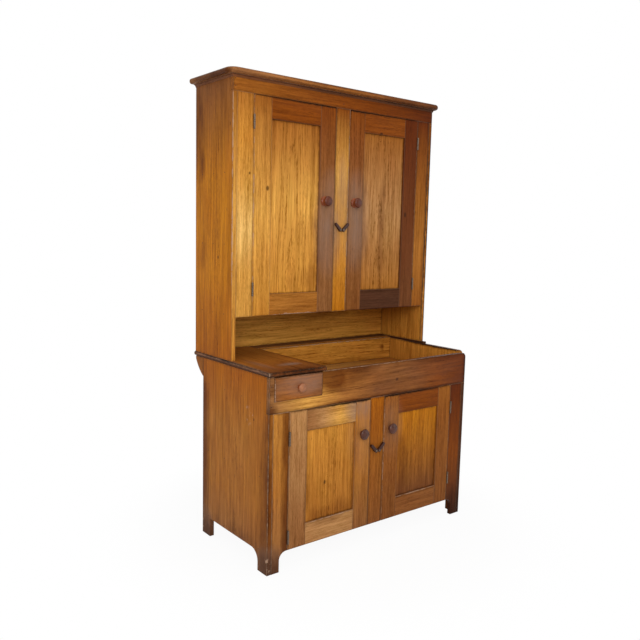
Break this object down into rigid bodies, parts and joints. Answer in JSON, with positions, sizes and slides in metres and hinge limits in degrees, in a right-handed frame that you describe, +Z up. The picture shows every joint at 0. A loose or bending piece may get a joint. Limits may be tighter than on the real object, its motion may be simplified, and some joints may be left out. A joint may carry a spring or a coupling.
{
  "type": "step back cupboard",
  "caption": "Wooden cupboard: a deeper base with doors, a drawer and an open well, under a shallower upper case with panelled doors, an open shelf and a plain cornice.",
  "frame": {"origin": "on the floor, under the middle of the whole cupboard's bounding box", "axes": "+Z up, +X to the right seen from the front, -Y out of the front"},
  "size_m": [1.284, 0.672, 2.13],
  "materials": {
    "case_pine": "varnished yellow pine, aged golden brown",
    "door_frame_pine": "varnished pine, reddish brown and dulled by handling",
    "door_panel_pine": "varnished pine, golden",
    "worn_apron_pine": "varnished pine, worn and darkened",
    "deck_pine": "varnished pine, worn grey-brown at the nosing",
    "raw_pine": "oiled pine inside the case",
    "knob_wood": "turned hardwood, dark red-brown",
    "tan_wood": "turned wood, worn tan",
    "dark_wood": "dark stained wood",
    "hinge_iron": "aged iron",
    "hinge_pin_steel": "worn steel",
    "screw_steel": "aged steel"
  },
  "bodies": {
    "case": {"apron": "worn_apron_pine", "base_back_boards": "raw_pine", "base_floor": "raw_pine", "base_shelf": "raw_pine", "base_side_left": "case_pine", "base_side_right": "case_pine", "base_stile_centre": "case_pine", "base_stile_left": "case_pine", "base_stile_right": "case_pine", "bay_divider": "raw_pine", "button_screws": "screw_steel", "corbels": "case_pine", "cornice_board": "deck_pine", "cornice_cove": "case_pine", "deck": "deck_pine", "frame_hinge_leaves": "hinge_iron", "frieze": "case_pine", "hinge_pins": "hinge_pin_steel", "rear_ledge": "raw_pine", "rest_cleat": "case_pine", "upper_back_boards": "raw_pine", "upper_floor": "raw_pine", "upper_shelves": "raw_pine", "upper_side_left": "case_pine", "upper_side_right": "case_pine", "upper_stile_centre": "case_pine", "upper_stile_left": "case_pine", "upper_stile_right": "case_pine", "well_back": "raw_pine", "well_floor": "raw_pine"},
    "door_upper_left": {"door_upper_left_hinge_leaves": "hinge_iron", "door_upper_left_knob": "knob_wood", "door_upper_left_panel": "door_panel_pine", "door_upper_left_rails": "door_frame_pine", "door_upper_left_stiles": "door_frame_pine"},
    "door_upper_right": {"door_upper_right_hinge_leaves": "hinge_iron", "door_upper_right_knob": "knob_wood", "door_upper_right_panel": "door_panel_pine", "door_upper_right_rails": "door_frame_pine", "door_upper_right_stiles": "door_frame_pine"},
    "door_lower_left": {"door_lower_left_hinge_leaves": "hinge_iron", "door_lower_left_knob": "knob_wood", "door_lower_left_panel": "door_panel_pine", "door_lower_left_rails": "door_frame_pine", "door_lower_left_stiles": "door_frame_pine"},
    "door_lower_right": {"door_lower_right_hinge_leaves": "hinge_iron", "door_lower_right_knob": "knob_wood", "door_lower_right_panel": "door_panel_pine", "door_lower_right_rails": "door_frame_pine", "door_lower_right_stiles": "door_frame_pine"},
    "drawer": {"drawer_back": "raw_pine", "drawer_bottom": "raw_pine", "drawer_front": "worn_apron_pine", "drawer_knob": "tan_wood", "drawer_sides": "raw_pine"},
    "button_upper_left": {"button_upper_left": "dark_wood"},
    "button_upper_right": {"button_upper_right": "dark_wood"},
    "button_lower_left": {"button_lower_left": "dark_wood"},
    "button_lower_right": {"button_lower_right": "dark_wood"}
  },
  "joints": [
    {"name": "door_upper_left_hinge", "type": "hinge", "parent": "case", "child": "door_upper_left", "pos_m": [-0.504, -0.005, 1.553], "axis": [0, 0, -1], "range_deg": [0, 110]},
    {"name": "door_upper_right_hinge", "type": "hinge", "parent": "case", "child": "door_upper_right", "pos_m": [0.504, -0.005, 1.553], "axis": [0, 0, 1], "range_deg": [0, 110]},
    {"name": "door_lower_left_hinge", "type": "hinge", "parent": "case", "child": "door_lower_left", "pos_m": [-0.504, -0.309, 0.3925], "axis": [0, 0, -1], "range_deg": [0, 110]},
    {"name": "door_lower_right_hinge", "type": "hinge", "parent": "case", "child": "door_lower_right", "pos_m": [0.504, -0.309, 0.3925], "axis": [0, 0, 1], "range_deg": [0, 110]},
    {"name": "button_upper_left_turn", "type": "hinge", "parent": "case", "child": "button_upper_left", "pos_m": [-0.0098, 0.001, 1.466], "axis": [0, 1, 0], "range_deg": [-45, 45]},
    {"name": "button_upper_right_turn", "type": "hinge", "parent": "case", "child": "button_upper_right", "pos_m": [0.0098, 0.001, 1.466], "axis": [0, -1, 0], "range_deg": [-45, 45]},
    {"name": "button_lower_left_turn", "type": "hinge", "parent": "case", "child": "button_lower_left", "pos_m": [-0.0098, -0.303, 0.446], "axis": [0, 1, 0], "range_deg": [-45, 45]},
    {"name": "button_lower_right_turn", "type": "hinge", "parent": "case", "child": "button_lower_right", "pos_m": [0.0098, -0.303, 0.446], "axis": [0, -1, 0], "range_deg": [-45, 45]},
    {"name": "drawer_slide", "type": "slide", "parent": "case", "child": "drawer", "axis": [0, -1, 0], "range_m": [0, 0.38]}
  ]
}
